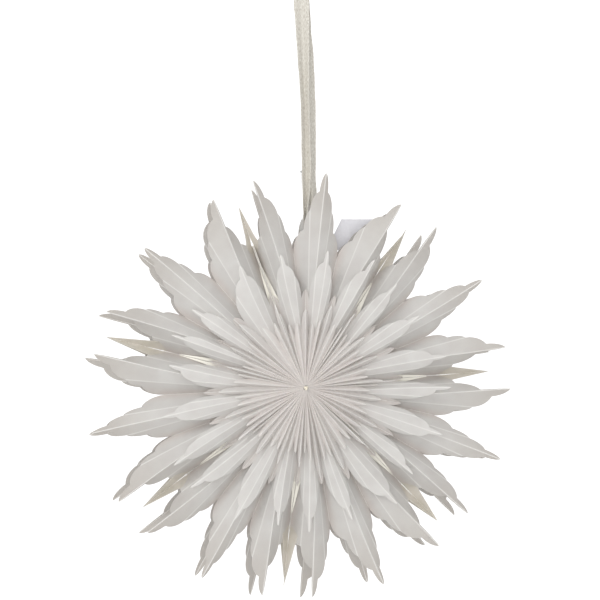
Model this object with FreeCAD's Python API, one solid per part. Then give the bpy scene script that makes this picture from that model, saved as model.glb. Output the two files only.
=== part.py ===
"""Hanging paper snowflake star: seven folded paper bags fanned into a full circle about a hub.

Millimetres. The origin is the hang point, inside the top of the ribbon loop. +Z is up and the star
faces -Y. Angles are clockwise from straight up, as seen from the front, and radii start at the hub.
"""
import FreeCAD, Part
import math
import os

from FreeCAD import Vector

os.makedirs("parts", exist_ok=True)

# ---- driving dimensions -------------------------------------------------------------------------
STAR_TIP = 200.0          # mean radius of the long leaves' tips
LEAN = 4.5                # the outline sits this far off the hub ...
LEAN_TOWARDS = 225.0      # ... towards the lower left
HUB_X = 1.8               # the hub hangs this far right of the hang point's plumb line
HUB_Z = -380.0            # and this far below it

# each bag opens into three leaves with two valleys between; the hand-fanned angles are not quite even
LEAF_ANGLES = [
    (-14.0, 5.5, 28.5),
    (39.5, 59.5, 79.5),
    (90.5, 110.0, 128.0),
    (139.5, 158.5, 178.0),
    (191.0, 208.0, 227.0),
    (238.5, 258.0, 279.0),
    (291.0, 311.5, 334.5),
]
VALLEY_ANGLES = [
    (-4.0, 15.0),
    (50.0, 68.0),
    (102.0, 119.0),
    (151.0, 168.5),
    (201.0, 217.0),
    (249.5, 267.0),
    (301.0, 321.0),
]
# the shorter leaves glued on top fan out a little differently
SHORT_LEAF_ANGLES = [
    (-12.0, 10.0, 30.0),
    (41.0, 59.0, 77.5),
    (89.0, 109.5, 129.5),
    (142.0, 161.5, 178.5),
    (191.5, 207.0, 228.0),
    (240.0, 259.0, 279.0),
    (291.0, 305.5, 331.0),
]
SHORT_VALLEY_ANGLES = [
    (0.0, 18.0),
    (49.0, 66.0),
    (99.5, 119.0),
    (154.5, 170.0),
    (200.0, 217.0),
    (249.0, 267.0),
    (298.5, 314.0),
]

PAPER = 0.35              # paper thickness, measured along Y on the folded leaves
GLUE_GAP = 0.2            # from a wall to the plane it shares with the next bag's wall
FIT = 0.03                # clearance between a glued tier and the wall beside it
SPINE_R = 3.2             # the leaves start here
SPINE_INNER = 2.4         # distance of a bag's glued bottom from the hub line

# a tier of leaves: depth at the hub, then radius and depth of its tips and of its valleys
OUTER = {"hub": 34.0, "tip": (STAR_TIP, 27.0), "valley": (124.0, 10.0), "wall": (124.0, 6.0)}
MIDDLE = {"hub": 44.0, "tip": (135.0, 37.0), "valley": (71.0, 32.5), "wall": (71.0, 28.4)}
INNER = {"hub": 52.0, "tip": (80.0, 47.0), "valley": (35.0, 44.5), "wall": (80.0, 47.0)}

# half a leaf's outline, from its tip to the valley: (share of the half pitch, share of tip to valley);
# a rounded claw, then three lobes
LEAF_OUTLINE = [
    (0.00, 1.00), (0.09, 0.92), (0.17, 0.77), (0.38, 0.70), (0.49, 0.55),
    (0.61, 0.46), (0.67, 0.30), (0.88, 0.17), (1.00, 0.00),
]

WALL_TIP = 185.0          # the pointed end of a bag's wall, in the middle of the star's depth
WALL_NECK = (62.0, 36.0)  # radius and half depth where the wall narrows behind the inner leaves
WALL_SHOULDER = (157.5, 4.0)     # where it starts to come to its point
WALL_STEP = 1.0           # it steps from the middle tier to the long leaves over this much radius
BOTTOM_WIDTH = 12.8       # width of a bag's glued bottom
BOTTOM_INSET = 1.0        # and how far it stops short of the inner leaves, front and back
COVER_THICK = 0.6
COVER_START = (8.0, 47.0)    # radius and half depth of a cover's inner end
COVER_BEND = (60.0, 34.0)
COVER_END = (143.0, 8.0)
COVER_GAP = 0.15          # from an end cover to the closing plane
COVER_FIT = 0.1           # from an end cover to the bag's wall beside it
CORD_R = 1.0
KNOT_R = 2.4

RIBBON_THICK = 0.6
RIBBON_LOOP_R = 3.0       # inside radius of the fold over the hook
RIBBON_JOIN = (-150.0, -190.0)   # heights between which the two plies come together
RIBBON_LEFT = [
    (-7.5, 5.0), (-7.0, -12.0), (-0.1, -114.0), (1.35, -165.0), (1.5, -192.0), (2.7, -227.0),
]
RIBBON_RIGHT = [(4.7, -227.0), (15.1, -192.0), (14.2, -114.0), (8.5, -12.0), (7.5, 5.0)]

THREAD_R = 0.3
THREAD_TOP = -174.0       # height of the knot at the ribbon's edge
THREAD_KNOT_R = 1.0
TAB_HOLE = 116.0          # radius at which the thread holds the star, straight above the hub
TAB_SPAN = (96.0, 119.0)
TAB_THICK = 0.8
TAB_HOLE_R = 1.6
LOOP_R = 2.5

TAG_OUTLINE = [(41.0, -218.5), (88.5, -218.5), (73.5, -249.0), (26.0, -249.0)]
TAG_Y = 30.0
TAG_THICK = 0.5
TAG_HOLE_R = 1.5
FASTENER = (27.0, 168.0)  # angle and radius of the hole that it goes through
FASTENER_R = 0.45
FASTENER_BAR = (0.6, 4.0)   # radius and half length of its cross bars
FASTENER_ENDS = (6.0, 2.0)  # how far the bars stand off the leaf and the tag
THROUGH = 14.0            # length of a cutter that passes right through a sheet


# ---- points and directions in the star ----------------------------------------------------------
def radial(angle):
    t = math.radians(angle)
    return math.sin(t), math.cos(t)


def flat(angle, radius):
    """(x, z) of a point in the star's plane, from the hub."""
    x, z = radial(angle)
    return radius * x, radius * z


def place(x, depth, z):
    """A point given from the hub; a positive depth is towards the front."""
    return Vector(HUB_X + x, -depth, HUB_Z + z)


def tip_scale(angle):
    """The outline is a circle set a little off the hub."""
    return 1.0 + LEAN / STAR_TIP * math.cos(math.radians(angle - LEAN_TOWARDS))


# ---- folded sheets ------------------------------------------------------------------------------
def slopes(tier):
    """How fast a tier's mountain, valley and wall folds run back from its depth at the hub."""
    return [(tier["hub"] - tier[k][1]) / tier[k][0] for k in ("tip", "valley", "wall")]


def panel_plane(first, second):
    """(p, q) so that depth = hub - p x - q z on the panel between two folds (angle, slope)."""
    (x1, z1), (x2, z2) = radial(first[0]), radial(second[0])
    det = x1 * z2 - x2 * z1
    p = (first[1] * z2 - second[1] * z1) / det
    q = (x1 * second[1] - x2 * first[1]) / det
    return p, q


def half_leaf(tier, mountain, valley):
    """Flat outline of the paper between a leaf's middle fold and the valley beside it."""
    scale = tip_scale(mountain)
    tip, low = tier["tip"][0] * scale, tier["valley"][0]
    points = [flat(mountain, SPINE_R)]
    for across, along in LEAF_OUTLINE:
        points.append(flat(mountain + across * (valley - mountain), low + along * (tip - low)))
    points.append(flat(valley, SPINE_R))
    return points


def clip(points, angle, side, offset):
    """Keeps the part of an outline that is at least offset from a radial plane, on one side."""
    x, z = radial(angle)
    dist = [side * (px * z - pz * x) - offset for px, pz in points]
    kept = []
    for i, point in enumerate(points):
        j = (i + 1) % len(points)
        if dist[i] >= 0:
            kept.append(point)
        if (dist[i] < 0) != (dist[j] < 0):
            s = dist[i] / (dist[i] - dist[j])
            kept.append((point[0] + s * (points[j][0] - point[0]), point[1] + s * (points[j][1] - point[1])))
    return kept


def same(point):
    return round(point[0], 5), round(point[1], 5)


def folded_sheet(panels, front):
    """One solid from flat outlines with their depth rules, PAPER thick along Y."""
    side = 1.0 if front else -1.0
    edges = set()
    loops = []
    for outline, rule in panels:
        loop = [outline[i] for i in range(len(outline)) if same(outline[i]) != same(outline[i - 1])]
        if len(loop) > 2:
            loops.append((loop, rule))
            edges |= {(same(loop[i - 1]), same(loop[i])) for i in range(len(loop))}
    faces = []
    for loop, rule in loops:
        outside = [place(x, side * rule(x, z), z) for x, z in loop]
        inside = [place(x, side * (rule(x, z) - PAPER), z) for x, z in loop]
        for ring in (outside, inside):
            faces.append(Part.Face(Part.makePolygon(ring + ring[:1])))
        for i in range(len(loop)):
            if (same(loop[i]), same(loop[i - 1])) not in edges:
                ring = [outside[i - 1], outside[i], inside[i], inside[i - 1]]
                faces.append(Part.Face(Part.makePolygon(ring + ring[:1])))
    return closed_solid(faces)


def closed_solid(faces):
    shell = Part.Shell(faces)
    shell.sewShape()
    solid = Part.Solid(shell)
    if solid.Volume < 0:
        solid.reverse()
    return solid


def bag_sides(k):
    """Angles of the planes that bag k shares with its neighbours."""
    before = LEAF_ANGLES[k - 1][-1] - (360.0 if k == 0 else 0.0)
    last = k == len(LEAF_ANGLES) - 1
    after = LEAF_ANGLES[0][0] + 360.0 if last else LEAF_ANGLES[k + 1][0]
    return (before + LEAF_ANGLES[k][0]) / 2, (LEAF_ANGLES[k][-1] + after) / 2


def tier_folds(k, short):
    """(angle, kind) of every fold of a sheet of bag k, from its left wall to its right wall."""
    leaves = (SHORT_LEAF_ANGLES if short else LEAF_ANGLES)[k]
    valleys = (SHORT_VALLEY_ANGLES if short else VALLEY_ANGLES)[k]
    left, right = bag_sides(k)
    folds = [(left, "wall"), (leaves[0], "leaf")]
    for valley, leaf in zip(valleys, leaves[1:]):
        folds += [(valley, "valley"), (leaf, "leaf")]
    return folds + [(right, "wall")]


def wall_offsets(k):
    """Distance of bag k's left and right wall from the plane that it shares with its neighbour."""
    cover = COVER_GAP + COVER_THICK + COVER_FIT
    last = len(LEAF_ANGLES) - 1
    return (cover if k == 0 else GLUE_GAP), (cover if k == last else GLUE_GAP)


def tier_panels(k, tier, staggered, margin):
    """The panels of one tier of bag k; a staggered tier has its leaves over the valleys."""
    folds = tier_folds(k, tier is not OUTER)
    mountain, valley, wall = slopes(tier)
    rise = {"leaf": mountain, "valley": valley, "wall": wall}
    if staggered:
        rise = {"leaf": valley, "valley": mountain, "wall": mountain}
    left, right = wall_offsets(k)
    panels = []
    for (a, kind_a), (b, kind_b) in zip(folds, folds[1:]):
        leaf_first = (kind_a == "leaf") != staggered
        outline = half_leaf(tier, a, b) if leaf_first else half_leaf(tier, b, a)[::-1]
        outline = clip(outline, folds[0][0], 1.0, left + margin)
        outline = clip(outline, folds[-1][0], -1.0, right + margin)
        p, q = panel_plane((a, rise[kind_a]), (b, rise[kind_b]))
        panels.append((outline, lambda x, z, p=p, q=q: tier["hub"] - p * x - q * z))
    return panels


# ---- the bag's walls and its glued bottom -------------------------------------------------------
def radial_plate(angle, outline, start, thick):
    """A plate in a radial plane, from outline points (radius, depth), start to start + thick aside."""
    x, z = radial(angle)
    points = [place(r * x + start * z, d, r * z - start * x) for r, d in outline]
    return Part.Face(Part.makePolygon(points + points[:1])).extrude(Vector(z * thick, 0, -x * thick))


def wall_outline():
    """Half the wall's edge, front side: it backs the inner leaf, then the middle and the long one."""
    in_front, mid, out = slopes(INNER)[0], slopes(MIDDLE)[2], slopes(OUTER)[2]
    tip = INNER["tip"][0]
    low = MIDDLE["valley"][0]
    end = OUTER["valley"][0]
    half = [
        (SPINE_INNER, INNER["hub"] - in_front * SPINE_INNER),
        (tip, INNER["hub"] - in_front * tip),
        WALL_NECK,
        (low, MIDDLE["hub"] - mid * low),
        (low - WALL_STEP, OUTER["hub"] - out * low),
        (end, OUTER["hub"] - out * end),
        WALL_SHOULDER,
        (WALL_TIP, 0.0),
    ]
    return half + [(r, -d) for r, d in half[-2::-1]]


def bag_walls(k):
    first, last = bag_sides(k)
    left, right = wall_offsets(k)
    return [
        radial_plate(first, wall_outline(), left, PAPER),
        radial_plate(last, wall_outline(), -right - PAPER, PAPER),
    ]


def bag_bottom(k):
    """The glued bottom at the hub line, from wall to wall."""
    first, last = bag_sides(k)
    left, right = wall_offsets(k)
    middle = (first + last) / 2
    x, z = radial(middle)
    half = BOTTOM_WIDTH / 2
    outline = []
    for out, aside in ((0, -half), (0, half), (PAPER, half), (PAPER, -half)):
        r = SPINE_INNER + out
        outline.append((r * x + aside * z, r * z - aside * x))
    outline = clip(clip(outline, first, 1.0, left), last, -1.0, right)
    depth = INNER["hub"] - BOTTOM_INSET
    points = [place(px, depth, pz) for px, pz in outline]
    return Part.Face(Part.makePolygon(points + points[:1])).extrude(Vector(0, 2 * depth, 0))


def outer_bag(k):
    """The paper bag itself: long leaves in front and behind, two walls and the glued bottom."""
    front, back = (folded_sheet(tier_panels(k, OUTER, False, 0.0), side) for side in (True, False))
    return front.fuse([back, bag_bottom(k)] + bag_walls(k)).removeSplitter()


def glued_tier(k, tier, staggered, front):
    return folded_sheet(tier_panels(k, tier, staggered, PAPER + FIT), front)


# ---- the closing edge, the hub and the hanging tab ----------------------------------------------
def end_cover(side):
    """A card cover on one side of the closing plane; side is 1 beside bag 1, -1 beside bag 7."""
    outline = [COVER_START, COVER_BEND, COVER_END]
    outline += [(r, -d) for r, d in outline[::-1]]
    start = COVER_GAP if side > 0 else -COVER_GAP - COVER_THICK
    return radial_plate(bag_sides(0)[0], outline, start, COVER_THICK)


def centre_cord():
    reach = INNER["hub"] + KNOT_R / 2
    return Part.makeCylinder(CORD_R, 2 * reach, Vector(HUB_X, -reach, HUB_Z), Vector(0, 1, 0))


def hub_knot(side, cord):
    centre = Vector(HUB_X, side * (INNER["hub"] + KNOT_R), HUB_Z)
    return Part.makeSphere(KNOT_R, centre).cut(cord)


def outer_depth(k, x, z):
    """Depth of bag k's long leaves above a point given from the hub."""
    folds = tier_folds(k, False)
    angle = math.degrees(math.atan2(x, z))
    span = [i for i in range(len(folds) - 1) if folds[i][0] <= angle <= folds[i + 1][0]][0]
    rule = tier_panels(k, OUTER, False, 0.0)[span][1]
    return rule(x, z)


def hang_tab():
    """A card web inside bag 1, glued to its folds in front and behind, with the thread's hole."""
    corners = []
    for z in TAB_SPAN:
        corners.append((z, outer_depth(0, -HUB_X - TAB_THICK / 2, z) - PAPER - FIT))
    corners += [(z, -d) for z, d in corners[::-1]]
    points = [Vector(-TAB_THICK / 2, -d, HUB_Z + z) for z, d in corners]
    web = Part.Face(Part.makePolygon(points + points[:1])).extrude(Vector(TAB_THICK, 0, 0))
    start = Vector(-TAB_THICK, 0, HUB_Z + TAB_HOLE)
    return web.cut(Part.makeCylinder(TAB_HOLE_R, 2 * TAB_THICK, start, Vector(1, 0, 0)))


# ---- ribbon and thread --------------------------------------------------------------------------
def thread_loop():
    """The thread's own loop, through the tab's hole."""
    centre = Vector(0, 0, HUB_Z + TAB_HOLE + LOOP_R)
    return Part.makeTorus(LOOP_R, THREAD_R, centre, Vector(0, 1, 0))


def thread_knot():
    return Part.makeSphere(THREAD_KNOT_R, Vector(0, 0, THREAD_TOP))


def hanging_thread(loop, knot):
    """A straight thread under load, from the knot at the ribbon to its loop."""
    low = HUB_Z + TAB_HOLE + 2 * LOOP_R
    start = Vector(0, 0, low)
    thread = Part.makeCylinder(THREAD_R, THREAD_TOP - low, start, Vector(0, 0, 1))
    pieces = thread.cut([loop, knot]).Solids
    return max(pieces, key=lambda s: s.Volume)


def ply_profile(radius, gap):
    """Closed side outline, in the YZ plane, of the folded ribbon's outer or inner surface."""
    apart, together = RIBBON_JOIN
    end = RIBBON_LEFT[-1][1]
    top = Vector(0, 0, radius - RIBBON_LOOP_R)       # the arc's middle, over the hook
    right = [Vector(0, radius, -RIBBON_LOOP_R), Vector(0, radius, apart)]
    if gap > 0:
        right += [Vector(0, gap, together), Vector(0, gap, end)]
        low = [Vector(0, -gap, end), Vector(0, -gap, together)]
    else:
        right += [Vector(0, 0, together)]
        low = []
    left = [Vector(0, -radius, apart), Vector(0, -radius, -RIBBON_LOOP_R)]
    path = right + low + left
    edges = [Part.LineSegment(a, b).toShape() for a, b in zip(path, path[1:])]
    edges.append(Part.Arc(left[-1], top, right[0]).toShape())
    return Part.Face(Part.Wire(edges))


def ribbon_loop():
    """A ribbon folded over the hook; both plies narrow to the gathered end inside the star."""
    outer = ply_profile(RIBBON_LOOP_R + RIBBON_THICK, RIBBON_THICK)
    inner = ply_profile(RIBBON_LOOP_R, 0.0)
    edges = RIBBON_LEFT + RIBBON_RIGHT
    left, right = min(x for x, _ in edges), max(x for x, _ in edges)
    band = outer.cut(inner).extrude(Vector(right - left, 0, 0))
    band.translate(Vector(left, 0, 0))
    points = [Vector(x, -THROUGH / 2, z) for x, z in edges]
    front_view = Part.Face(Part.makePolygon(points + points[:1])).extrude(Vector(0, THROUGH, 0))
    return band.common(front_view)


# ---- tag ----------------------------------------------------------------------------------------
def fastener_place():
    x, z = flat(*FASTENER)
    return HUB_X + x, outer_depth(0, x, z), HUB_Z + z


def tag():
    points = [Vector(x, TAG_Y, z) for x, z in TAG_OUTLINE]
    card = Part.Face(Part.makePolygon(points + points[:1])).extrude(Vector(0, TAG_THICK, 0))
    x, _, z = fastener_place()
    hole = Part.makeCylinder(TAG_HOLE_R, THROUGH, Vector(x, TAG_Y - THROUGH / 2, z), Vector(0, 1, 0))
    return card.cut(hole)


def fastener_hole():
    """The punched hole in bag 1's back leaf."""
    x, depth, z = fastener_place()
    start = Vector(x, depth - THROUGH / 2, z)
    return Part.makeCylinder(2 * FASTENER_R, THROUGH, start, Vector(0, 1, 0))


def tag_fastener():
    """A clear plastic tie with a cross bar inside the leaf and one behind the tag."""
    x, depth, z = fastener_place()
    ends = depth - FASTENER_ENDS[0], TAG_Y + TAG_THICK + FASTENER_ENDS[1]
    stem = Part.makeCylinder(FASTENER_R, ends[1] - ends[0], Vector(x, ends[0], z), Vector(0, 1, 0))
    thick, reach = FASTENER_BAR
    bars = [
        Part.makeCylinder(thick, 2 * reach, Vector(x - reach, y, z), Vector(1, 0, 0))
        for y in ends
    ]
    return stem.fuse(bars)


# ---- the assembly -------------------------------------------------------------------------------
def build():
    nodes = {}
    for k in range(len(LEAF_ANGLES)):
        name = f"bag_{k + 1}"
        nodes[f"{name}_outer"] = outer_bag(k)
        for side, front in (("front", True), ("back", False)):
            nodes[f"{name}_middle_{side}"] = glued_tier(k, MIDDLE, False, front)
            nodes[f"{name}_inner_{side}"] = glued_tier(k, INNER, True, front)
    nodes["bag_1_outer"] = nodes["bag_1_outer"].cut(fastener_hole())
    nodes["end_cover_first"] = end_cover(1)
    nodes["end_cover_last"] = end_cover(-1)
    nodes["centre_cord"] = centre_cord()
    nodes["front_knot"] = hub_knot(-1, nodes["centre_cord"])
    nodes["back_knot"] = hub_knot(1, nodes["centre_cord"])
    nodes["hang_tab"] = hang_tab()
    nodes["thread_loop"] = thread_loop()
    nodes["thread_knot"] = thread_knot()
    nodes["hanging_thread"] = hanging_thread(nodes["thread_loop"], nodes["thread_knot"])
    nodes["ribbon_loop"] = ribbon_loop()
    nodes["tag"] = tag()
    nodes["tag_fastener"] = tag_fastener()
    return nodes


def main():
    for name, shape in build().items():
        solids = shape.Solids
        print(f"{name}: {len(solids)} solid, valid {shape.isValid()}, {shape.Volume:.1f} mm3")
        if len(solids) == 1:
            shape = solids[0]
        shape.exportStep(f"parts/{name}.step")


main()
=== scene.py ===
"""Looks of the hanging paper snowflake star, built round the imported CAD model.

Metres, in the CAD model's own frame: the hang point is the origin, +Z is up and the star faces -Y.
Angles are clockwise from straight up, as seen from the front, and radii start at the hub.
"""
import math
import random

import bpy
import numpy as np
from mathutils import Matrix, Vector


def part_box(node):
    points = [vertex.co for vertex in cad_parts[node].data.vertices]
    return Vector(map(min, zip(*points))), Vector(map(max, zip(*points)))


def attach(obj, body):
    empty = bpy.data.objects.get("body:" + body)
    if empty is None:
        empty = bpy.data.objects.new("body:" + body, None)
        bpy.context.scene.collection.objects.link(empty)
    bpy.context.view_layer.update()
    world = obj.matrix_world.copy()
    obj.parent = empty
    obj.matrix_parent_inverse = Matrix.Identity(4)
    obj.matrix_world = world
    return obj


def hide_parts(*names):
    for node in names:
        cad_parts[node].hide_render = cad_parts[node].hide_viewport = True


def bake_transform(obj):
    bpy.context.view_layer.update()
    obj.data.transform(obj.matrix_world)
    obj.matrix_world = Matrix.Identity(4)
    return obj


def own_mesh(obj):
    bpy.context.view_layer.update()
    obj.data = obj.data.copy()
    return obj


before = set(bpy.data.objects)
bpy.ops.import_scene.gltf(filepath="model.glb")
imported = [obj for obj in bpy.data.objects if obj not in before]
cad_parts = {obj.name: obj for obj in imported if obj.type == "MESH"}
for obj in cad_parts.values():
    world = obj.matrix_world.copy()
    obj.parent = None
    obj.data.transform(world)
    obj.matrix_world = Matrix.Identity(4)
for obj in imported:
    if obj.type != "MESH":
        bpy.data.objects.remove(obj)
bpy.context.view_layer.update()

MM = 0.001

# ---- driving values, the same as in part.py -----------------------------------------------------
HUB = (Vector(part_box("centre_cord")[0]) + Vector(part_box("centre_cord")[1])) / 2
STAR_TIP = 200 * MM       # the longest leaves end about this far from the hub
LEAN = 4.5 * MM           # the outline sits this far off the hub, towards the lower left
LEAN_TOWARDS = 225.0
LEAF_ANGLES = [
    (-14.0, 5.5, 28.5),
    (39.5, 59.5, 79.5),
    (90.5, 110.0, 128.0),
    (139.5, 158.5, 178.0),
    (191.0, 208.0, 227.0),
    (238.5, 258.0, 279.0),
    (291.0, 311.5, 334.5),
]
# how far the front leaves reach from the hub (mm)
LEAF_REACH = [
    (202.0, 204.5, 197.0),
    (198.0, 198.0, 196.0),
    (197.0, 199.5, 198.0),
    (199.0, 203.0, 200.0),
    (202.0, 205.5, 203.0),
    (207.0, 206.0, 202.0),
    (201.0, 201.0, 198.0),
]
VALLEY_ANGLES = [
    (-4.0, 15.0),
    (50.0, 68.0),
    (102.0, 119.0),
    (151.0, 168.5),
    (201.0, 217.0),
    (249.5, 267.0),
    (301.0, 321.0),
]
# the shorter leaves glued on top fan out a little differently
SHORT_LEAF_ANGLES = [
    (-12.0, 10.0, 30.0),
    (41.0, 59.0, 77.5),
    (89.0, 109.5, 129.5),
    (142.0, 161.5, 178.5),
    (191.5, 207.0, 228.0),
    (240.0, 259.0, 279.0),
    (291.0, 305.5, 331.0),
]
SHORT_VALLEY_ANGLES = [
    (0.0, 18.0),
    (49.0, 66.0),
    (99.5, 119.0),
    (154.5, 170.0),
    (200.0, 217.0),
    (249.0, 267.0),
    (298.5, 314.0),
]
# A tier of leaves: depth at the hub, then radius and depth of its tips, valleys and wall folds (mm).
# The inner tier is staggered: its tips stand over the valleys and walls of the tiers behind.
TIERS = {
    "outer": {"hub": 34.0, "tip": (200.0, 27.0), "valley": (128.5, 10.0), "wall": (128.5, 0.8)},
    "middle": {"hub": 43.5, "tip": (135.0, 34.5), "valley": (71.0, 32.0), "wall": (71.0, 28.0)},
    "inner": {"hub": 52.0, "tip": (80.0, 44.0), "valley": (38.0, 45.0), "wall": (80.0, 44.0)},
}
STAGGERED = {"outer": False, "middle": False, "inner": True}
LEAF_START = 2.2 * MM     # the leaves begin this far from the hub line
GLUE_GAP = 0.2 * MM       # from a bag's wall to the plane it shares with its neighbour
SEAM_GAP = 1.0 * MM       # the same beside an end cover
TIP_GAP = 0.03 * MM       # and from the pointed end of a side, beyond the covers
COVER_END = 143.0         # an end cover reaches out to this radius, in mm
COVER_CLEAR = (1, 9)      # past it a side's gap narrows to the last one between these, in mm
WALL_TIP = 185 * MM       # the pointed end of a bag's side reaches about this far

# ---- the paper ----------------------------------------------------------------------------------
PAPER = 0.3 * MM
# The cut edge of half a leaf runs down through these notches: share of the way from the leaf's fold
# to the next one, and share of the way from the valley's radius to the tip's. A rounded claw at the
# tip comes first, then the lobes: three on an outer leaf, and two on the flank beside a wall. The
# edges of the shorter leaves turn outwards again once.
NOTCHES = {
    "broad": [(0.18, 0.76), (0.50, 0.53), (0.68, 0.30), (1.0, 0.0)],
    "narrow": [(0.13, 0.77), (0.37, 0.54), (0.57, 0.30), (1.0, 0.0)],
    "side": [(0.05, 0.60), (0.50, 0.30), (1.0, 0.08)],
    "short": [(0.13, 0.80), (0.46, 0.60), (0.76, 0.18), (1.0, 0.36)],
    "inner": [(0.34, 0.34), (0.62, 0.66), (1.0, 0.22)],
}
LOBE_STEPS = 6            # points along each lobe
LOBE_ROUND = 0.7          # 0 makes the cut edge straight between notches, 1 a quarter of an ellipse
# smaller folds that run from the hub to a notch: where they are, and how far they fall behind the
# flank per unit of radius (less than nothing stands proud of it)
PLEATS = {
    "broad": [(0.50, -0.013)],
    "narrow": [(0.37, -0.013)],
    "side": [(0.50, -0.006)],
    "short": [(0.46, -0.024)],
    "inner": [(0.34, 0.085), (0.62, -0.020)],
}
# spread of the tips along and across, as shares of the tier's radius
UNEVEN = {"outer": 0.008, "middle": 0.05, "inner": 0.085}
SWAY = {"outer": 0.009, "middle": 0.024, "inner": 0.009}
# the folds of a bag's outer leaves pass this far from the hub line, towards the bag's middle
FOLD_MISS = {"outer": 15 * MM, "middle": 6 * MM, "inner": 0.0}
FOLD_LEAN_MOST = 5.0      # but near the hub they lean by no more than this angle
ROWS = {"outer": 18, "middle": 13, "inner": 10}   # steps along a fold
# how much the folds and flanks differ from one another
CURL = 0.014                          # most curl of a tip, as a share of the tier's radius
CURL_SPREAD = (-0.5, 1)               # least and most curl, as shares of that
PLEAT_SPREAD = (0.6, 1.3)             # a flank's pleats are this much shallower or deeper
BELLY_SPREAD = (-0.002, 0.006)        # how far a flank bellies forward, per unit of radius
# seen from the front, the back leaves hang a little lower and to the left
BACK_SHIFT = Vector((-8.5 * MM, 0.0, -5.0 * MM))
BACK_SHIFT_POWER = 1.5    # the shift grows with this power of the radius
SEAM_STEADY = 16.0        # over this many degrees it fades out towards the end covers, which stay put

# What the paper material reads at every point: distance to the nearest fold and to the cut edge (mm),
# how deep in a valley it lies (0 to 1), which sort of paper it is, and its radius (mm).
FACTS = ("crease", "rim", "valley", "wall", "radius")
FAR = 9.0                 # no fold or cut edge near
SHEET, SIDE_TIP, FLAP = 0.0, 1.0, 2.0              # the sorts of paper
PAPER_SHARP = 7.0         # folds sharper than this stay crisp, in degrees


def bag_sides(k):
    """Angles of the planes that bag k shares with its neighbours."""
    before = LEAF_ANGLES[k - 1][-1] - (360.0 if k == 0 else 0.0)
    last = k == len(LEAF_ANGLES) - 1
    after = LEAF_ANGLES[0][0] + 360.0 if last else LEAF_ANGLES[k + 1][0]
    return (before + LEAF_ANGLES[k][0]) / 2, (LEAF_ANGLES[k][-1] + after) / 2


def tier_folds(k, short):
    """(angle, kind) of every fold of a sheet of bag k, from its left wall to its right wall."""
    leaves = (SHORT_LEAF_ANGLES if short else LEAF_ANGLES)[k]
    valleys = (SHORT_VALLEY_ANGLES if short else VALLEY_ANGLES)[k]
    left, right = bag_sides(k)
    folds = [(left, "wall"), (leaves[0], "leaf")]
    for valley, leaf in zip(valleys, leaves[1:]):
        folds += [(valley, "valley"), (leaf, "leaf")]
    return folds + [(right, "wall")]


def in_star(angle, radius, depth, aside):
    """A point at an angle in degrees; depth is towards the front, and aside is clockwise."""
    turn = math.radians(angle)
    back = min(max(0.5 - depth / (2 * TIERS["outer"]["tip"][1] * MM), 0.0), 1.0)
    seam = bag_sides(0)[0]
    steady = min(abs((angle - seam + 180.0) % 360.0 - 180.0) / SEAM_STEADY, 1.0)
    shift = BACK_SHIFT * (steady * back * (radius / STAR_TIP) ** BACK_SHIFT_POWER)
    return HUB + shift + Vector((
        radius * math.sin(turn) + aside * math.cos(turn),
        -depth,
        radius * math.cos(turn) - aside * math.sin(turn),
    ))


def wall_gaps(k, tier_name="outer"):
    """How far bag k's left and right walls stand off the planes they share."""
    seam = GLUE_GAP if tier_name == "inner" else SEAM_GAP
    last = len(LEAF_ANGLES) - 1
    return (seam if k == 0 else GLUE_GAP), (seam if k == last else GLUE_GAP)


def tip_scale(angle):
    """How much farther the outline reaches at an angle, because it sits off the hub."""
    return 1.0 + LEAN / STAR_TIP * math.cos(math.radians(angle - LEAN_TOWARDS))


def cut_edge(kind):
    """(across, along) down half a leaf's cut edge, from its tip."""
    points = []
    last = (0.0, 1.0)
    for notch in NOTCHES[kind]:
        falls = notch[1] < last[1]
        high, low = (last, notch) if falls else (notch, last)
        for i in range(LOBE_STEPS):
            along = (i if falls else LOBE_STEPS - i) / LOBE_STEPS
            turn = math.pi / 2 * along
            out = along + LOBE_ROUND * (math.sin(turn) - along)
            fall = along + LOBE_ROUND * (1 - math.cos(turn) - along)
            points.append((high[0] + (low[0] - high[0]) * out, high[1] + (low[1] - high[1]) * fall))
        last = notch
    return points + [last]


def edge_kind(tier_name, folds, peak, low):
    """Which cut edge the paper has between a leaf's fold and the fold beside it."""
    if tier_name != "outer":
        return "short" if tier_name == "middle" else "inner"
    if folds[low][1] == "wall":
        return "side"
    return "narrow" if peak == len(folds) // 2 else "broad"


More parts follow.
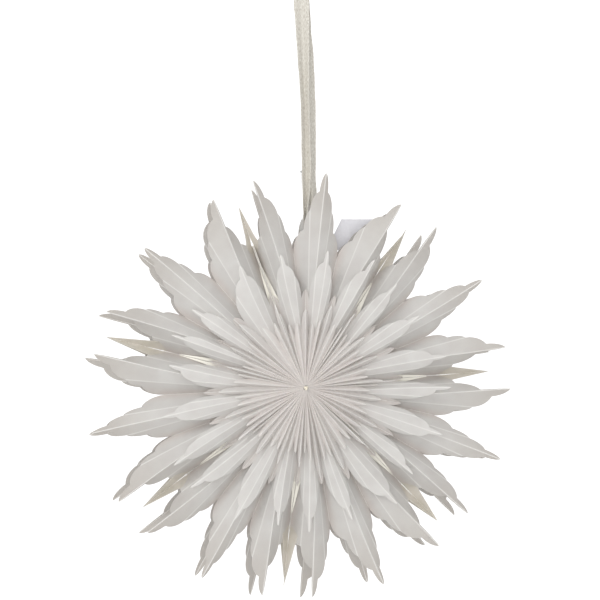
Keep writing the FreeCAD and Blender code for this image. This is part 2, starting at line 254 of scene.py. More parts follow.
def sheet_columns(k, tier_name, front, rng):
    """The columns of one pleated sheet of bag k, from wall to wall, with the paper's small unevenness."""
    tier = TIERS[tier_name]
    staggered = STAGGERED[tier_name]
    rise = {kind: (tier["hub"] - tier[kind][1]) / tier[kind][0] for kind in ("tip", "valley", "wall")}
    low_kind = {"leaf": "tip", "valley": "valley", "wall": "wall"}
    if staggered:
        low_kind = {"leaf": "valley", "valley": "tip", "wall": "tip"}
    folds = tier_folds(k, tier_name != "outer")
    size = tier["tip"][0] * MM
    middle = sum(bag_sides(k)) / 2
    traits = [
        {
            "sway": rng.uniform(-1, 1) * SWAY[tier_name] * size,
            "curl": rng.uniform(*CURL_SPREAD) * CURL * size,
            "reach": rng.uniform(-1, 1) * UNEVEN[tier_name] * size,
        }
        for fold in folds
    ]
    columns = []
    for i in range(len(folds) - 1):
        peak_first = (folds[i][1] == "leaf") != staggered
        peak, low = (i, i + 1) if peak_first else (i + 1, i)
        kind = edge_kind(tier_name, folds, peak, low)
        sharp, belly = rng.uniform(*PLEAT_SPREAD), rng.uniform(*BELLY_SPREAD)
        lines = [0.0] + [at for at, _ in PLEATS[kind]] + [1.0]
        falls = [0.0] + [sharp * fall for _, fall in PLEATS[kind]] + [0.0]
        s_peak, s_low = (rise[low_kind[folds[j][1]]] for j in (peak, low))
        tip = size * tip_scale(folds[peak][0]) + traits[peak]["reach"]
        notch = tier["valley"][0] * MM * tip_scale(folds[low][0]) + traits[low]["reach"] / 2
        if front and tier_name == "outer":
            tip = LEAF_REACH[k][peak // 2] * MM
        outermost = folds[peak][1] == "leaf" and peak != len(folds) // 2
        half = []
        for across, along in cut_edge(kind):
            slope = s_peak + across * (s_low - s_peak) + float(np.interp(across, lines, falls))
            slope -= belly * math.sin(math.pi * across)
            half.append({
                "peak": folds[peak][0],
                "low": folds[low][0],
                "towards": math.copysign(1.0, middle - folds[peak][0]) if outermost else 0.0,
                "reach": notch + along * (tip - notch),
                "slope": slope,
                "notch": notch,
                "tip": tip,
                "sway": traits[peak]["sway"],
                "curl": traits[peak]["curl"],
                "lines": lines,
                "across": across,
            })
        if not peak_first:
            half.reverse()
        columns += half if not columns else half[1:]
    return columns


def fold_angle(column, radius, miss, tip):
    """Angle of the leaf's fold at a radius: a straight line that passes the hub at a distance."""
    lean = math.degrees(miss * (1 / radius - 1 / tip)) / FOLD_LEAN_MOST
    return column["peak"] + column["towards"] * FOLD_LEAN_MOST * math.tanh(lean)


def sheet_grid(k, tier_name, front, rng):
    """Points, faces and per-point facts of one pleated sheet of bag k."""
    tier = TIERS[tier_name]
    columns = sheet_columns(k, tier_name, front, rng)
    rows = ROWS[tier_name]
    first, last = bag_sides(k)
    gaps = wall_gaps(k, tier_name)
    side = 1.0 if front else -1.0
    points, facts = [], []
    for c in columns:
        for row in range(rows + 1):
            r = LEAF_START + (row / rows) * (c["reach"] - LEAF_START)
            peak = fold_angle(c, r, FOLD_MISS[tier_name], c["tip"])
            angle = peak + c["across"] * (c["low"] - peak)
            share = (angle - first) / (last - first)
            free = min(max((r - c["notch"]) / (c["tip"] - c["notch"]), 0.0), 1.0) ** 2
            depth = tier["hub"] * MM - r * c["slope"] + free * c["curl"]
            sway = gaps[0] * (1 - share) - gaps[1] * share + free * c["sway"]
            points.append(in_star(angle, r, side * depth, sway))
            span = math.radians(abs(c["low"] - peak)) * r
            crease = min(abs(c["across"] - line) * span for line in c["lines"])
            facts.append((crease / MM, (c["reach"] - r) / MM, c["across"] ** 2, SHEET, r / MM))
    return points, grid_faces(len(columns), rows + 1, front), facts


def grid_faces(rows, columns, forward=True):
    """Four-sided faces over a grid of points that is stored row after row."""
    faces = []
    for i in range(rows - 1):
        for j in range(columns - 1):
            a = i * columns + j
            quad = (a, a + 1, a + columns + 1, a + columns)
            faces.append(quad if forward else quad[::-1])
    return faces


# ---- the sides of a bag, in mm ------------------------------------------------------------------
# the glued web: its half depth down its edge, from the hub
WEB_EDGE = [(2.2, 51.8), (60.0, 35.0), (71.0, 27.0), (75.0, 14.0), (122.0, 2.0)]
WEB_ROWS, WEB_COLUMNS = 26, 7
WEB_SHADE = 0.6           # how deep in a valley its paper counts as lying

# the pointed end
TIP_FOOT = 116.0          # it starts at this radius, inside the bag
TIP_FLARE = (0.11, 0.19)  # it narrows by about this much to each side per unit of radius
TIP_WIDEST = 0.075        # but its half width stays under this share of the radius
TIP_DEPTH = 1.35          # and each half stands this much forward for its width
TIP_UNEVEN = 5.0          # spread of its reach
TIP_RIM = 0.05            # the least distance from its cut edge that its paper counts as having
TIP_ROWS, TIP_COLUMNS = 20, 9
TIP_SHADE = 0.2

# the cream glue flaps, one each side of the glued web's edge, in front and behind
FLAP_SPAN = (80.0, 121.0)             # radii of their ends
FLAP_WIDTH, FLAP_TAPER = 0.3, 0.095   # width at the outer end, and how fast it grows inwards
FLAP_BROAD = (0.9, 1.3)               # spread of that width
FLAP_LEAST = 0.05                     # a little more width for every flap
FLAP_STAND, FLAP_PROUD = 2.1, 0.3     # it stands proud of the wall fold: per width, and then more
FLAP_ROWS, FLAP_COLUMNS = 16, 4
FLAP_SHADE = 0.0

# the bag's glued bottom at the hub
SPINE_RADIUS = 2.5
SPINE_INSET = 8           # its edges lie this far inside the bag's sides, in degrees
SPINE_SHORT = 1 * MM      # and it ends this far short of the inner leaves' depth
SPINE_POINTS = 9
SPINE_SHADE = 1.0


def web_grid(k, right):
    """The flat part of one side of bag k, glued to the next bag."""
    angle = bag_sides(k)[1 if right else 0]
    aside = (-1.0 if right else 1.0) * (wall_gaps(k)[1 if right else 0] + PAPER / 2)
    radii, halves = [e[0] for e in WEB_EDGE], [e[1] for e in WEB_EDGE]
    points, facts = [], []
    for r in np.linspace(radii[0], radii[-1], WEB_ROWS):
        half = float(np.interp(r, radii, halves))
        for j in range(WEB_COLUMNS):
            v = 2 * j / (WEB_COLUMNS - 1) - 1
            points.append(in_star(angle, float(r) * MM, v * half * MM, aside))
            facts.append((FAR, FAR, WEB_SHADE, SHEET, float(r)))
    return points, grid_faces(WEB_ROWS, WEB_COLUMNS, not right), facts


def side_tip_grid(k, right, rng):
    """The pointed end of one side of bag k: two facets that open from the glued line into the bag."""
    angle = bag_sides(k)[1 if right else 0]
    into = -1.0 if right else 1.0
    gap = wall_gaps(k)[1 if right else 0]
    apex = WALL_TIP / MM * tip_scale(angle) + rng.uniform(-TIP_UNEVEN, TIP_UNEVEN)
    flare = rng.uniform(*TIP_FLARE)
    closes = [COVER_END + past for past in COVER_CLEAR]
    points, facts = [], []
    for r in np.linspace(TIP_FOOT, apex, TIP_ROWS):
        width = min(flare * (apex - float(r)), TIP_WIDEST * float(r))
        clear = float(np.interp(r, closes, (gap, TIP_GAP))) + PAPER / 2
        for j in range(TIP_COLUMNS):
            v = 2 * j / (TIP_COLUMNS - 1) - 1
            open_by = width * abs(v)
            depth = math.copysign(TIP_DEPTH * open_by, v)
            points.append(in_star(angle, float(r) * MM, depth * MM, into * (clear + open_by * MM)))
            facts.append((FAR, (1 - abs(v)) * width + TIP_RIM, TIP_SHADE, SIDE_TIP, float(r)))
    return points, grid_faces(TIP_ROWS, TIP_COLUMNS, not right), facts


def side_flap_grid(k, right, front, rng):
    """One cream glue flap, on one side of bag k, in front or behind."""
    angle = bag_sides(k)[1 if right else 0]
    into = -1.0 if right else 1.0
    gap = wall_gaps(k)[1 if right else 0] / MM
    tier = TIERS["outer"]
    rise = (tier["hub"] - tier["wall"][1]) / tier["wall"][0]
    broad = rng.uniform(*FLAP_BROAD)
    low, high = FLAP_SPAN
    points, facts = [], []
    for r in np.linspace(low, high, FLAP_ROWS):
        r = float(r)
        width = broad * (FLAP_WIDTH + FLAP_TAPER * (high - r)) + FLAP_LEAST
        depth = tier["hub"] - rise * r + FLAP_STAND * width + FLAP_PROUD
        side = depth if front else -depth
        for j in range(FLAP_COLUMNS):
            aside = gap + width * j / (FLAP_COLUMNS - 1)
            points.append(in_star(angle, r * MM, side * MM, into * aside * MM))
            facts.append((FAR, FAR, FLAP_SHADE, FLAP, r))
    return points, grid_faces(FLAP_ROWS, FLAP_COLUMNS, right != front), facts


def spine_grid(k):
    """The bag's glued bottom, a narrow strip beside the hub cord from front to back."""
    first, last = bag_sides(k)
    reach = TIERS["inner"]["hub"] * MM - SPINE_SHORT
    off = SPINE_RADIUS * MM
    points, facts = [], []
    for angle in (first + SPINE_INSET, last - SPINE_INSET):
        turn = math.radians(angle)
        for y in np.linspace(-reach, reach, SPINE_POINTS):
            points.append(HUB + Vector((off * math.sin(turn), float(y), off * math.cos(turn))))
            facts.append((FAR, FAR, SPINE_SHADE, SHEET, SPINE_RADIUS))
    return points, grid_faces(2, SPINE_POINTS), facts


# ---- objects ------------------------------------------------------------------------------------
def new_object(name, data):
    obj = bpy.data.objects.new(name, data)
    bpy.context.scene.collection.objects.link(obj)
    return obj


def paper_object(name, grids, material):
    """A thin solid from one or more grids of points, with the facts that the paper material reads."""
    points, faces, facts = [], [], []
    for p, f, v in grids:
        start = len(points)
        points += p
        faces += [tuple(i + start for i in quad) for quad in f]
        facts += v
    mesh = bpy.data.meshes.new(name)
    mesh.from_pydata(points, [], faces)
    for index, key in enumerate(FACTS):
        layer = mesh.attributes.new(key, "FLOAT", "POINT")
        layer.data.foreach_set("value", [v[index] for v in facts])
    obj = new_object(name, mesh)
    thicken(obj, PAPER)
    finish_mesh(obj, material, PAPER_SHARP)
    return obj


def thicken(obj, thickness):
    """Give a surface that thickness, half of it to each side."""
    solid = obj.modifiers.new("thickness", "SOLIDIFY")
    solid.thickness = thickness
    solid.offset = 0.0
    solid.use_even_offset = False
    mesh = evaluated_mesh(obj)
    obj.modifiers.clear()
    obj.data = mesh


def evaluated_mesh(obj):
    graph = bpy.context.evaluated_depsgraph_get()
    return bpy.data.meshes.new_from_object(obj.evaluated_get(graph), depsgraph=graph)


def finish_mesh(obj, material, sharp):
    """Smooth shading, except across folds and edges sharper than that angle in degrees."""
    for face in obj.data.polygons:
        face.use_smooth = True
    obj.data.set_sharp_from_angle(angle=math.radians(sharp))
    give_material(obj, material)


def give_material(obj, material):
    obj.data.materials.clear()
    obj.data.materials.append(material)


# ---- materials ----------------------------------------------------------------------------------
def new_material(name):
    mat = bpy.data.materials.new(name)
    mat.use_nodes = True
    mat.node_tree.nodes.clear()
    return mat, Nodes(mat.node_tree)


class Nodes:
    """Short ways to add and join the nodes of one material."""

    def __init__(self, tree):
        self.tree = tree

    def add(self, kind, values=(), **settings):
        node = self.tree.nodes.new(kind)
        for key, value in settings.items():
            setattr(node, key, value)
        for key, value in dict(values).items():
            if isinstance(value, bpy.types.NodeSocket):
                self.tree.links.new(value, node.inputs[key])
            else:
                node.inputs[key].default_value = value
        return node

    def fact(self, name):
        return self.add("ShaderNodeAttribute", attribute_name=name).outputs["Fac"]

    def place(self):
        return self.add("ShaderNodeTexCoord").outputs["Object"]

    def uv(self):
        return self.add("ShaderNodeTexCoord").outputs["UV"]

    def stretched(self, vector, scale):
        return self.add("ShaderNodeMapping", {"Vector": vector, "Scale": scale}).outputs["Vector"]

    def noise(self, vector, scale, detail=3.0, roughness=0.55):
        values = {"Vector": vector, "Scale": scale, "Detail": detail, "Roughness": roughness}
        return self.add("ShaderNodeTexNoise", values).outputs["Fac"]

    def span(self, value, low, high, to_low=0.0, to_high=1.0):
        values = {"Value": value, "From Min": low, "From Max": high, "To Min": to_low, "To Max": to_high}
        return self.add("ShaderNodeMapRange", values).outputs["Result"]

    def maths(self, operation, a, b):
        return self.add("ShaderNodeMath", {0: a, 1: b}, operation=operation).outputs[0]

    def mix(self, share, first, second):
        values = {"Factor": share, 6: first, 7: second}
        return self.add("ShaderNodeMix", values, data_type="RGBA").outputs[2]

    def bump(self, height, distance, strength, normal=None):
        values = {"Height": height, "Distance": distance, "Strength": strength}
        if normal is not None:
            values["Normal"] = normal
        return self.add("ShaderNodeBump", values).outputs["Normal"]

    def output(self, shader):
        self.add("ShaderNodeOutputMaterial", {"Surface": shader})


def colour(r, g, b):
    """A colour given as it looks on screen, 0 to 255."""
    return tuple(((c / 255 + 0.055) / 1.055) ** 2.4 for c in (r, g, b)) + (1.0,)


def paper_material():
    """White craft paper: faint fibres, folds pale partly from worn fibres and partly from a painted
    highlight, a painted highlight on cut edges, painted warm shade in its valleys and on the pointed ends
    of the sides, painted light towards the hub and painted shade towards the tips.
    """
    mat, n = new_material("white_paper")
    place = n.place()
    cloud = n.noise(place, 55.0, 2.0)
    fibre = n.noise(n.stretched(place, (1.0, 1.0, 3.0)), 900.0, 4.0)
    radius = n.fact("radius")
    base = n.mix(n.span(cloud, 0.35, 0.65), colour(236, 234, 232), colour(241, 240, 238))
    base = n.mix(n.span(fibre, 0.3, 0.75, 0.0, 0.25), base, colour(228, 225, 222))
    # painted warm shade, deeper into the valleys
    base = n.mix(n.span(n.fact("valley"), 0.45, 1.0, 0.0, 0.45), base, colour(230, 219, 213))
    # painted light, paler towards the hub, and painted shade, greyer towards the tips
    base = n.mix(n.span(radius, 10.0, 90.0, 0.7, 0.0), base, colour(245, 239, 236))
    base = n.mix(n.span(radius, 135.0, 200.0, 0.0, 0.65), base, colour(212, 206, 199))
    # painted warm shade on the pointed ends of the sides, and the glue flaps cream
    painted_warm_shade = n.mix(n.span(cloud, 0.4, 0.6), colour(233, 229, 220), colour(239, 235, 228))
    base = n.mix(n.fact("wall"), base, painted_warm_shade)
    flap = n.span(n.fact("wall"), SIDE_TIP, FLAP)
    base = n.mix(flap, base, colour(251, 248, 238))
    # pale folds, partly worn fibres and partly a painted highlight, fainter near the hub where they
    # crowd, and a fainter painted highlight along the cut edges
    fold = n.span(n.fact("crease"), 0.25, 0.6, 1.0, 0.0)
    fold = n.maths("MULTIPLY", fold, n.span(radius, 15.0, 70.0, 0.2, 1.0))
    cut = n.span(n.fact("rim"), 0.1, 0.55, 1.0, 0.0)
    line = n.maths("MAXIMUM", fold, n.maths("MULTIPLY", cut, 0.3))
    # painted highlight and worn fibres: the pale lines along folds and cut edges
    base = n.mix(n.maths("MULTIPLY", line, 0.9), base, colour(252, 251, 249))
    normal = n.bump(fibre, 0.03 * MM, 0.6)
    normal = n.bump(n.noise(place, 28.0, 2.0), 0.5 * MM, 0.25, normal)
    glossy = n.add("ShaderNodeBsdfPrincipled", {"Base Color": base, "Normal": normal,
                   "Roughness": n.span(fibre, 0.3, 0.7, 0.62, 0.8), "Specular IOR Level": 0.3})
    through = n.add("ShaderNodeBsdfTranslucent", {"Color": base, "Normal": normal})
    # half the light comes through the paper, but hardly any through the doubled flaps
    thin = n.span(flap, 0.0, 1.0, 0.5, 0.05)
    both = n.add("ShaderNodeMixShader", {0: thin, 1: glossy.outputs[0], 2: through.outputs[0]})
    n.output(both.outputs[0])
    return mat


def card_material(name, light, dark, roughness=0.6, grain=500.0):
    """Thin pressed card with a faint mottle."""
    mat, n = new_material(name)
    place = n.place()
    mottle = n.noise(place, grain, 4.0)
    base = n.mix(n.span(mottle, 0.3, 0.7), dark, light)
    base = n.mix(n.span(n.noise(place, 40.0, 2.0), 0.3, 0.7, 0.0, 0.3), base, dark)
    normal = n.bump(mottle, 0.05 * MM, 0.5)
    shader = n.add("ShaderNodeBsdfPrincipled", {"Base Color": base, "Normal": normal,
                   "Roughness": n.span(mottle, 0.3, 0.7, roughness, roughness + 0.12)})
    n.output(shader.outputs[0])
    return mat


def ribbon_material():
    """Cream woven ribbon: two crossing sets of yarns, with slubs and a broken lengthwise shimmer, partly
    from glossier slubs and partly painted into the colour as lighter and darker streaks.
    """
    mat, n = new_material("ribbon_weave")
    uv = n.uv()
    warp = n.add("ShaderNodeTexWave", {"Vector": n.stretched(uv, (1.0, 0.0, 0.0)), "Scale": 560.0,
                 "Distortion": 1.2, "Detail": 1.0}, bands_direction="X").outputs["Fac"]
    weft = n.add("ShaderNodeTexWave", {"Vector": n.stretched(uv, (0.0, 1.0, 0.0)), "Scale": 430.0,
                 "Distortion": 1.5, "Detail": 1.0}, bands_direction="Y").outputs["Fac"]
    weave = n.maths("MULTIPLY", warp, weft)
    slub_and_sheen = n.noise(n.stretched(uv, (1250.0, 330.0, 1.0)), 1.0, 4.0, 0.65)
    painted_sheen_streak = n.noise(n.stretched(uv, (700.0, 22.0, 1.0)), 1.0, 3.0)
    # painted sheen: lighter where the slubs are glossier, darker where they are rougher
    base = n.mix(n.span(slub_and_sheen, 0.35, 0.65), colour(174, 168, 156), colour(238, 236, 230))
    # painted sheen: broken darker streaks along the ribbon
    base = n.mix(n.span(painted_sheen_streak, 0.35, 0.7, 0.0, 0.5), base, colour(206, 201, 192))
    base = n.mix(n.span(weave, 0.0, 0.5, 0.25, 0.0), base, colour(190, 182, 163))
    normal = n.bump(weave, 0.12 * MM, 0.8)
    normal = n.bump(slub_and_sheen, 0.15 * MM, 0.6, normal)
    shader = n.add("ShaderNodeBsdfPrincipled", {"Base Color": base, "Normal": normal,
                   "Roughness": n.span(slub_and_sheen, 0.3, 0.7, 0.55, 0.28), "Sheen Weight": 0.4,
                   "Sheen Roughness": 0.4})
    n.output(shader.outputs[0])
    return mat


def thread_material():
    """Clear monofilament thread."""
    mat, n = new_material("clear_thread")
    ripple = n.noise(n.place(), 700.0, 2.0)
    base = n.mix(n.span(ripple, 0.3, 0.7), colour(226, 228, 228), colour(246, 247, 247))
    shader = n.add("ShaderNodeBsdfPrincipled", {"Base Color": base, "IOR": 1.5,
                   "Roughness": n.span(ripple, 0.3, 0.7, 0.12, 0.25), "Transmission Weight": 0.4,
                   "Normal": n.bump(ripple, 0.02 * MM, 0.5)})
    n.output(shader.outputs[0])
    return mat


def cord_material():
    """Twisted cream cotton cord."""
    mat, n = new_material("cotton_cord")
    place = n.place()
    twist = n.add("ShaderNodeTexWave", {"Vector": place, "Scale": 650.0, "Distortion": 2.0},
                  bands_direction="DIAGONAL").outputs["Fac"]
    fuzz = n.noise(place, 1500.0, 3.0)
    base = n.mix(n.span(twist, 0.1, 0.9), colour(222, 212, 190), colour(244, 238, 224))
    base = n.mix(n.span(fuzz, 0.3, 0.7, 0.0, 0.4), base, colour(250, 246, 232))
    normal = n.bump(twist, 0.1 * MM, 0.8)
    shader = n.add("ShaderNodeBsdfPrincipled", {"Base Color": base,
                   "Roughness": n.span(fuzz, 0.3, 0.7, 0.75, 0.9),
                   "Normal": n.bump(fuzz, 0.05 * MM, 0.5, normal)})
    n.output(shader.outputs[0])
    return mat


# ---- camera, lights and floor -------------------------------------------------------------------
VIEW_WIDTH = 0.570        # width seen at the plane of the front tips
VIEW_DISTANCE = 2.20      # from that plane
VIEW_YAW = 3.0            # the camera stands this far round to the left
VIEW_AIM = Vector((-0.001, 0.0, -0.2974))
# name, place, width of the disc, watts and tint
LIGHTS = [
    ("key_light", (-1.5, -1.9, 1.0), 1.2, 19.0, (1.0, 0.995, 0.99)),
    ("front_light", (-0.2, -2.7, -0.3), 1.4, 32.0, (1.0, 1.0, 0.99)),
    ("fill_light", (1.9, -1.7, -0.2), 1.8, 4.0, (0.98, 0.99, 1.0)),
]
# strength and colour of the surroundings: as they light the star, and as the camera sees them
WORLD = [
    (0.55, (0.995, 0.998, 1.0, 1.0)),
    (1.25, (1.0, 1.0, 1.0, 1.0)),
]
FLOOR_RADIUS = 4.0
FLOOR_HEIGHT = -2.0
FLOOR_SIDES = 96


def aim(obj, at):
    obj.rotation_mode = "QUATERNION"
    obj.rotation_quaternion = (Vector(at) - obj.location).to_track_quat("-Z", "Y")


def make_camera():
    data = bpy.data.cameras.new("camera")
    camera = new_object("camera", data)
    front = TIERS["outer"]["tip"][1] * MM
    turn = math.radians(VIEW_YAW)
    away = VIEW_DISTANCE + front
    camera.location = VIEW_AIM + Vector((-math.sin(turn), -math.cos(turn), 0.0)) * away
    aim(camera, VIEW_AIM)
    data.lens = data.sensor_width * VIEW_DISTANCE / VIEW_WIDTH
    bpy.context.scene.camera = camera


def make_lights():
    """Three soft discs aimed at the hub, in pale surroundings."""
    for name, at, size, power, tint in LIGHTS:
        data = bpy.data.lights.new(name, "AREA")
        data.shape = "DISK"
        data.size = size
        data.energy = power
        data.color = tint
        light = new_object(name, data)
        light.location = at
        aim(light, HUB)
    world = bpy.data.worlds.new("studio")
    world.use_nodes = True
    nodes, links = world.node_tree.nodes, world.node_tree.links
    nodes.clear()
    out = nodes.new("ShaderNodeOutputWorld")
    path = nodes.new("ShaderNodeLightPath")
    choose = nodes.new("ShaderNodeMixShader")
    for slot, (strength, tint) in enumerate(WORLD, start=1):
        sky = nodes.new("ShaderNodeBackground")
        sky.inputs["Color"].default_value = tint
        sky.inputs["Strength"].default_value = strength
        links.new(sky.outputs[0], choose.inputs[slot])
    links.new(path.outputs["Is Camera Ray"], choose.inputs[0])
    links.new(choose.outputs[0], out.inputs["Surface"])
    bpy.context.scene.world = world
    bpy.context.scene.view_settings.view_transform = "Standard"


def make_floor():
    """A plain pale disc well below the hanging star."""
    mesh = bpy.data.meshes.new("floor")
    turns = [2 * math.pi * i / FLOOR_SIDES for i in range(FLOOR_SIDES)]
    points = [(FLOOR_RADIUS * math.cos(t), FLOOR_RADIUS * math.sin(t), FLOOR_HEIGHT) for t in turns]
    mesh.from_pydata(points, [], [tuple(range(FLOOR_SIDES))])
    floor = new_object("floor", mesh)
    mat, n = new_material("pale_floor")
    grain = n.noise(n.place(), 6.0, 3.0)
    base = n.mix(n.span(grain, 0.3, 0.7), colour(238, 238, 237), colour(244, 244, 243))
    n.output(n.add("ShaderNodeBsdfPrincipled", {"Base Color": base, "Roughness": 0.8}).outputs[0])
    mesh.materials.append(mat)


# ---- thread and knots ---------------------------------------------------------------------------
THREAD_DIAMETER = 0.6 * MM
# a knot's outer radius and the radius of its strand
RIBBON_KNOT = (1.1 * MM, 0.33 * MM)
CORD_KNOT = (2.3 * MM, 0.7 * MM)
KNOT_STEPS = 60
KNOT_DEPTH = 1.7          # how far the strand weaves in and out, where the trefoil reaches TREFOIL_REACH
TREFOIL_REACH = 3.0
ROUND_SHARP = 60.0        # round things show no edges that are blunter than this, in degrees


def curve_object(name, points, bevel, material):
    """A smooth curve through a route's control points."""
    data = bpy.data.curves.new(name, "CURVE")
    data.dimensions = "3D"
    spline = data.splines.new("NURBS")
    spline.points.add(len(points) - 1)
    for point, at in zip(spline.points, points):
        point.co = (*at, 1.0)
    spline.order_u = 3
    spline.use_endpoint_u = True
    data.bevel_depth = bevel
    data.bevel_resolution = 4
    data.materials.append(material)
    return new_object(name, data)


def knot_mesh(name, centre, size, axis, material):
    """A small overhand knot pulled tight: a trefoil tube of that outer radius and strand, as a mesh."""
    radius, strand = size
    data = bpy.data.curves.new(name + "_curve", "CURVE")
    data.dimensions = "3D"
    spline = data.splines.new("POLY")
    spline.points.add(KNOT_STEPS - 1)
    spline.use_cyclic_u = True
    reach = (radius - strand) / TREFOIL_REACH
    turn = Vector((0, 0, 1)).rotation_difference(Vector(axis))
    for i, point in enumerate(spline.points):
        t = 2 * math.pi * i / KNOT_STEPS
        at = Vector((
            math.sin(t) + 2 * math.sin(2 * t),
            math.cos(t) - 2 * math.cos(2 * t),
            -math.sin(3 * t) * KNOT_DEPTH,
        )) * reach
        point.co = (*(Vector(centre) + turn @ at), 1.0)
    data.bevel_depth = strand
    data.bevel_resolution = 3
    holder = new_object(name, data)
    mesh = evaluated_mesh(holder)
    bpy.data.objects.remove(holder)
    obj = new_object(name, mesh)
    finish_mesh(obj, material, ROUND_SHARP)
    return obj


def make_thread(material):
    """The clear thread that carries the star, with its knot at the ribbon and its loop at the tab."""
    low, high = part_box("thread_knot")
    knot = knot_mesh("ribbon_knot", (low + high) / 2, RIBBON_KNOT, (0.3, 1.0, 0.2), material)
    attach(knot, "thread")
    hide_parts("thread_knot")
    loop = bpy.data.objects["thread_loop"]
    give_material(loop, material)
    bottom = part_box("hanging_thread")[0].z
    top = Vector((0.0, 0.0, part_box("hanging_thread")[1].z))
    length = top.z - bottom
    route = [top - Vector((0, 0, length * share)) for share in (0.0, 0.25, 0.5, 0.75, 1.0)]
    thread = curve_object("thread_line", route, THREAD_DIAMETER / 2, material)
    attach(thread, "thread")
    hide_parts("hanging_thread")


# ---- ribbon -------------------------------------------------------------------------------------
RIBBON_WIDTH = 15 * MM
RIBBON_THICK = 0.4 * MM
HOOK_R = 3.3 * MM         # the ribbon's middle passes over the hook at this radius
LOOP_STEPS = 10           # rows over the hook
LOOP_RISE = 0.98          # the loop is this much of a half circle high
PLY_SPACING = 3.0         # mm between the rows of the plies
SECTION_STEPS = 24        # points across
SECTION_ROUNDS = 30       # halvings in the search for the fold's depth
SECTION_SLACK = 0.02      # the ribbon is always folded by at least this much, in mm
FOLD_DEPTH = 0.8          # the fold is pressed to this share of its full depth
# the small sideways wander of the rows (mm): a slow wave with this many radians a row, and a jitter
WANDER, WANDER_TURN, WANDER_JITTER, WANDER_SHARE = 0.25, 0.7, 0.12, 0.4
# down each ply, in mm: height, left edge, right edge, depth of its middle
FRONT_PLY = [
    (-3.0, -7.5, 7.5, 3.3), (-12.0, -7.2, 7.6, 3.3), (-40.0, -5.2, 7.5, 3.2),
    (-70.0, -3.2, 7.6, 2.9), (-100.0, -1.0, 7.6, 2.6), (-125.0, -0.1, 8.2, 2.4),
    (-150.0, 0.2, 9.0, 1.8), (-175.0, 0.6, 9.5, 1.4), (-195.0, 1.2, 8.4, 1.2),
    (-212.0, 2.0, 6.3, 1.0), (-226.5, 2.7, 4.7, 0.8),
]
BACK_PLY = [
    (-3.0, -7.5, 7.5, -3.3), (-12.0, -6.2, 8.5, -3.3), (-40.0, -3.4, 10.2, -3.2),
    (-62.0, -1.0, 12.4, -3.0), (-90.0, 0.8, 13.6, -2.6), (-114.0, 1.8, 14.4, -2.2),
    (-150.0, 3.0, 14.6, -1.8), (-180.0, 4.2, 14.4, -1.6), (-196.0, 5.6, 15.4, -1.4),
    (-206.0, 7.0, 14.2, -1.4),
]


def ply_rows(ply, spacing):
    """Evenly spaced (height, left, right, depth) rows down one ply."""
    heights = [-row[0] for row in ply]
    count = int((heights[-1] - heights[0]) / spacing)
    for i in range(count + 1):
        h = heights[0] + (heights[-1] - heights[0]) * i / count
        yield (-h, *(float(np.interp(h, heights, [row[c] for row in ply])) for c in (1, 2, 3)))


def folded_section(width, flat):
    """Points across a strip of that flat width, folded lengthwise until it is only width wide."""
    shares = [i / SECTION_STEPS - 0.5 for i in range(SECTION_STEPS + 1)]

    def section(amp):
        return [(width * s, amp * math.cos(2 * math.pi * s)) for s in shares]

    def length(points):
        return sum(math.dist(a, b) for a, b in zip(points, points[1:]))

    low, high = 0.0, flat
    for _ in range(SECTION_ROUNDS):
        amp = (low + high) / 2
        low, high = (amp, high) if length(section(amp)) < flat else (low, amp)
    return section(low)


def make_ribbon(material):
    """One woven ribbon over the hook: both plies fold lengthwise as they near their gathered ends."""
    rng = random.Random("ribbon")
    rows = []
    for height, left, right, depth in reversed(list(ply_rows(FRONT_PLY, PLY_SPACING))):
        rows.append((height, left, right, depth, 1.0))
    foot, left, right = FRONT_PLY[0][:3]
    for i in range(1, LOOP_STEPS):
        turn = math.pi * i / LOOP_STEPS
        height = foot + HOOK_R / MM * math.sin(turn) * LOOP_RISE
        rows.append((height, left, right, HOOK_R / MM * math.cos(turn), math.cos(turn)))
    for height, left, right, depth in ply_rows(BACK_PLY, PLY_SPACING):
        rows.append((height, left, right, depth, -1.0))
    flat = RIBBON_WIDTH / MM
    points, travel, last = [], [0.0], None
    for i, (height, left, right, depth, side) in enumerate(rows):
        section = folded_section(min(right - left, flat - SECTION_SLACK), flat)
        middle = (left + right) / 2
        wander = WANDER * math.sin(i * WANDER_TURN) + rng.uniform(-WANDER_JITTER, WANDER_JITTER)
        for across, fold in section:
            # the fold's hollow faces out on both plies
            lift = -side * fold * FOLD_DEPTH
            x = middle + across + wander * WANDER_SHARE
            points.append(Vector((x, -(depth + lift), height)) * MM)
        here = Vector((middle, -depth, height)) * MM
        if last is not None:
            travel.append(travel[-1] + (here - last).length)
        last = here
    columns = len(section)
    mesh = bpy.data.meshes.new("ribbon")
    mesh.from_pydata(points, [], grid_faces(len(rows), columns))
    uv = mesh.uv_layers.new(name="UVMap")
    for loop in mesh.loops:
        i, j = divmod(loop.vertex_index, columns)
        uv.data[loop.index].uv = (j / (columns - 1) * RIBBON_WIDTH, travel[i])
    ribbon = new_object("ribbon_weave", mesh)
    thicken(ribbon, RIBBON_THICK)
    finish_mesh(ribbon, material, ROUND_SHARP)
    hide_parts("ribbon_loop")
    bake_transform(ribbon)


# ---- tag ----------------------------------------------------------------------------------------
# left and right ends of its top and bottom edges, and their heights (mm)
TAG_TOP = (41.0, 88.5, -218.5)
TAG_BOTTOM = (26.0, 73.5, -249.0)
TAG_THICK = 0.5 * MM
TAG_STEPS = 18
TAG_BOW = 0.7             # how far its middle bends back, in mm
TAG_CORNER = 0.8          # and its top left corner forwards
TAG_SHARP = 40.0


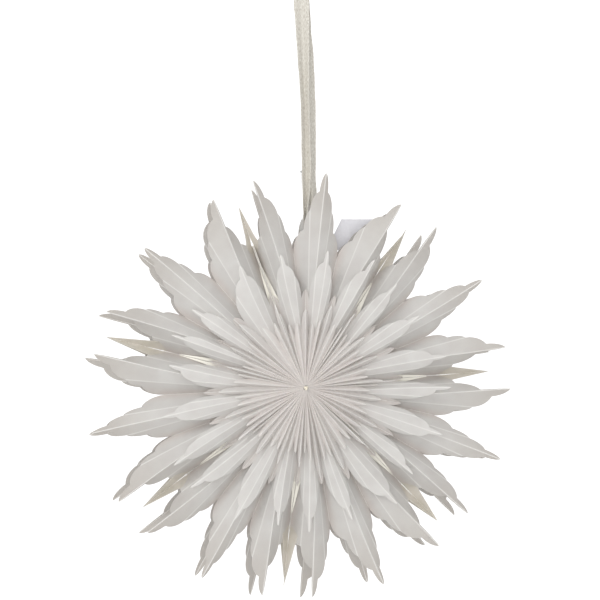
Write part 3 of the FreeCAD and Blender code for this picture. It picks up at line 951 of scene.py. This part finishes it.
def make_tag(material):
    """A blank card, a little bent, on the back of a leaf."""
    low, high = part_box("tag")
    y = (low.y + high.y) / 2
    points = []
    for i in range(TAG_STEPS + 1):
        v = i / TAG_STEPS
        for j in range(TAG_STEPS + 1):
            u = j / TAG_STEPS
            x = (TAG_TOP[0] * (1 - u) + TAG_TOP[1] * u) * (1 - v)
            x += (TAG_BOTTOM[0] * (1 - u) + TAG_BOTTOM[1] * u) * v
            z = TAG_TOP[2] * (1 - v) + TAG_BOTTOM[2] * v
            bend = TAG_BOW * math.sin(math.pi * u) - TAG_CORNER * (1 - v) * (1 - u) ** 2
            points.append(Vector((x * MM, y + bend * MM, z * MM)))
    mesh = bpy.data.meshes.new("tag")
    mesh.from_pydata(points, [], grid_faces(TAG_STEPS + 1, TAG_STEPS + 1))
    tag = new_object("tag_card", mesh)
    thicken(tag, TAG_THICK)
    finish_mesh(tag, material, TAG_SHARP)
    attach(tag, "tag")
    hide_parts("tag")


def make_bags(material):
    """Each bag: one outer piece with its sides and bottom, and two short tiers in front and behind."""
    for k in range(len(LEAF_ANGLES)):
        body = "star" if k == 0 else f"bag_{k + 1}"
        pieces = []
        rng = random.Random(f"bag {k} outer")
        grids = [sheet_grid(k, "outer", front, rng) for front in (True, False)]
        for right in (False, True):
            grids += [web_grid(k, right), side_tip_grid(k, right, rng)]
            grids += [side_flap_grid(k, right, front, rng) for front in (True, False)]
        grids.append(spine_grid(k))
        pieces.append((paper_object(f"paper_bag_{k + 1}", grids, material), f"bag_{k + 1}_outer"))
        for tier in ("middle", "inner"):
            for side, front in (("front", True), ("back", False)):
                rng = random.Random(f"bag {k} {tier} {side}")
                grid = sheet_grid(k, tier, front, rng)
                name = f"paper_{tier}_{side}_{k + 1}"
                pieces.append((paper_object(name, [grid], material), f"bag_{k + 1}_{tier}_{side}"))
        for piece, node in pieces:
            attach(piece, body)
            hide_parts(node)
            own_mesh(piece)


def make_hub(material):
    """The cord through the hub, with a pulled-tight knot in front and behind."""
    for side, name in ((-1.0, "front_knot"), (1.0, "back_knot")):
        low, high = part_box(name)
        knot = knot_mesh(f"cord_{name}", (low + high) / 2, CORD_KNOT, (0, side, 0), material)
        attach(knot, "star")
        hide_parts(name)


def main():
    make_camera()
    thread = thread_material()
    make_thread(thread)
    cord = cord_material()
    cover = card_material("cover_card", colour(233, 230, 224), colour(214, 209, 200))
    make_bags(paper_material())
    make_hub(cord)
    plain = {"centre_cord": cord, "hang_tab": cover, "end_cover_first": cover,
             "end_cover_last": cover, "tag_fastener": thread}
    for node, material in plain.items():
        give_material(bpy.data.objects[node], material)
    make_tag(card_material("tag_card", colour(222, 222, 227), colour(214, 213, 219), 0.4, 300.0))
    make_ribbon(ribbon_material())
    make_lights()
    make_floor()


main()
